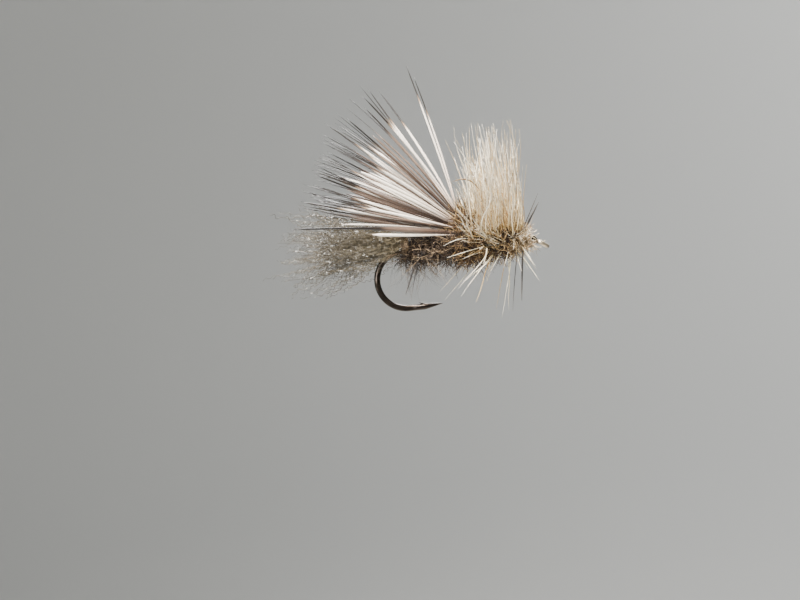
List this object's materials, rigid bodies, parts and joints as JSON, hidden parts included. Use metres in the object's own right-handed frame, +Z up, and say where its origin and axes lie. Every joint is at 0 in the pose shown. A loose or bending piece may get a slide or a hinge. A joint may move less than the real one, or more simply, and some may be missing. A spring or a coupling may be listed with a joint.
{
  "type": "dry fly",
  "caption": "Caddis dry fly on a down-eye hook: trailing shuck, fur body, fanned deer-hair wing, upright hair hackle and fur head.",
  "frame": {"origin": "on the hook wire's centreline, 45 degrees round the lower half of the bend, where a tying vise grips the hook", "axes": "+X forward along the shank to the eye, +Z up to the wing side, +Y to the fly's left; the hook lies in the plane y = 0"},
  "size_m": [0.021, 0.0161, 0.0203],
  "materials": {
    "hook_steel": "bronzed, semi-gloss",
    "tying_thread": "waxed",
    "abdomen_dubbing": "fuzzy fur",
    "thorax_dubbing": "fuzzy fur",
    "head_dubbing": "fuzzy fur",
    "deer_hair": "satin hair, dark tips",
    "hackle_hair": "satin hair, pale tips",
    "shuck_yarn": "crinkled, sparkling",
    "guard_hair": "stiff, dark",
    "head_cement": "clear amber varnish"
  },
  "bodies": {
    "root": {"abdomen_dubbing": "abdomen_dubbing", "guard_hair_belly": "guard_hair", "guard_hair_head": "guard_hair", "guard_hair_throat": "guard_hair", "hackle_lock_01": "hackle_hair", "hackle_lock_02": "hackle_hair", "hackle_lock_03": "hackle_hair", "hackle_lock_04": "hackle_hair", "hackle_lock_05": "hackle_hair", "hackle_lock_06": "hackle_hair", "hackle_lock_07": "hackle_hair", "hackle_lock_08": "hackle_hair", "hackle_lock_09": "hackle_hair", "hackle_lock_10": "hackle_hair", "hackle_lock_11": "hackle_hair", "hackle_lock_12": "hackle_hair", "hackle_lock_13": "hackle_hair", "hackle_lock_14": "hackle_hair", "hackle_lock_15": "hackle_hair", "hackle_lock_16": "hackle_hair", "hackle_lock_17": "hackle_hair", "hackle_lock_18": "hackle_hair", "hackle_lock_19": "hackle_hair", "hackle_lock_20": "hackle_hair", "hackle_loop_rope": "tying_thread", "head_cement": "head_cement", "head_dubbing": "head_dubbing", "hook": "hook_steel", "shuck_lower_left": "shuck_yarn", "shuck_lower_right": "shuck_yarn", "shuck_middle_left": "shuck_yarn", "shuck_middle_right": "shuck_yarn", "shuck_upper_left": "shuck_yarn", "shuck_upper_right": "shuck_yarn", "thorax_dubbing": "thorax_dubbing", "thread_base_layer": "tying_thread", "thread_head_whip_finish": "tying_thread", "thread_shuck_wraps": "tying_thread", "thread_wing_wraps": "tying_thread", "wing_hair_lock_01": "deer_hair", "wing_hair_lock_02": "deer_hair", "wing_hair_lock_03": "deer_hair", "wing_hair_lock_04": "deer_hair", "wing_hair_lock_05": "deer_hair", "wing_hair_lock_06": "deer_hair", "wing_hair_lock_07": "deer_hair", "wing_hair_lock_08": "deer_hair", "wing_hair_lock_09": "deer_hair", "wing_hair_lock_10": "deer_hair", "wing_hair_lock_11": "deer_hair", "wing_hair_lock_12": "deer_hair", "wing_hair_lock_13": "deer_hair", "wing_hair_lock_14": "deer_hair", "wing_hair_lock_15": "deer_hair", "wing_hair_lock_16": "deer_hair", "wing_hair_lock_17": "deer_hair", "wing_hair_lock_18": "deer_hair", "wing_hair_lock_19": "deer_hair"}
  },
  "joints": []
}
